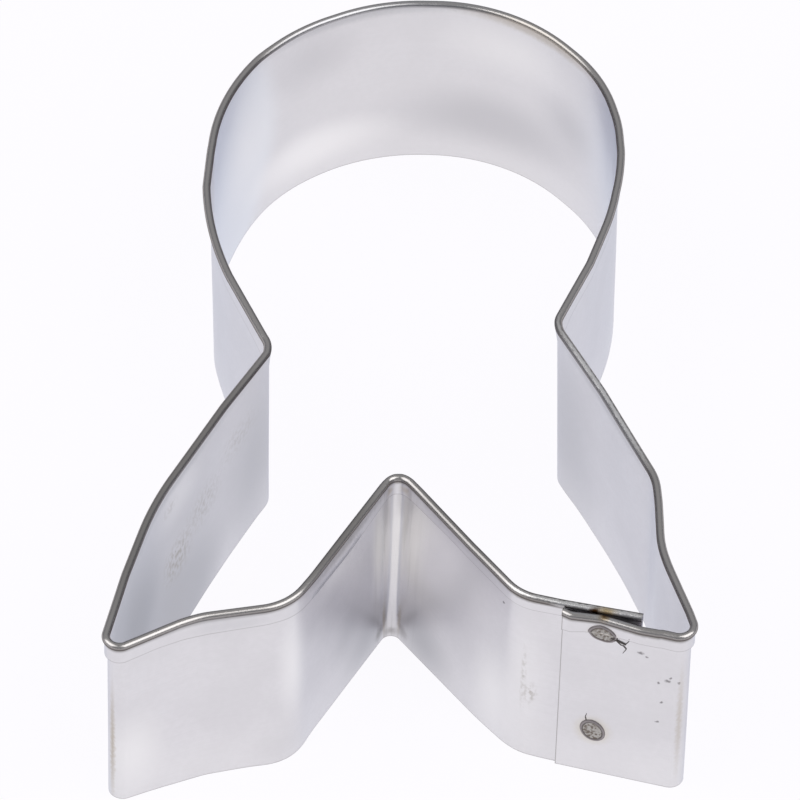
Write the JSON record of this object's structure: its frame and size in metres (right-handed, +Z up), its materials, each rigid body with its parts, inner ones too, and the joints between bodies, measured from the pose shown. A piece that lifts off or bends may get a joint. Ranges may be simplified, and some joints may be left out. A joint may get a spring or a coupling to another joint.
{
  "type": "cookie cutter",
  "caption": "Open tinplate cookie cutter bent to a looped ribbon with splayed tails, with a rolled safe top edge, a plain cutting edge and a lapped, spot-welded seam.",
  "frame": {"origin": "middle of the outline's box, on the plane of the cutting edge", "axes": "+Z up from the cutting edge to the rolled edge, +Y towards the loop, -Y towards the two feet, +X to the side of the lapped seam"},
  "size_m": [0.0626, 0.0972, 0.0254],
  "materials": {
    "tinplate": "bright tin plating with fine rolling grain, faint smudges and a few dark specks",
    "weld_metal": "dull grey, crinkled, with a dark burnt ring and brown heat tint"
  },
  "bodies": {
    "root": {"tinplate_strip": "tinplate", "upper_spot_weld": "weld_metal", "lower_spot_weld": "weld_metal"}
  },
  "joints": []
}
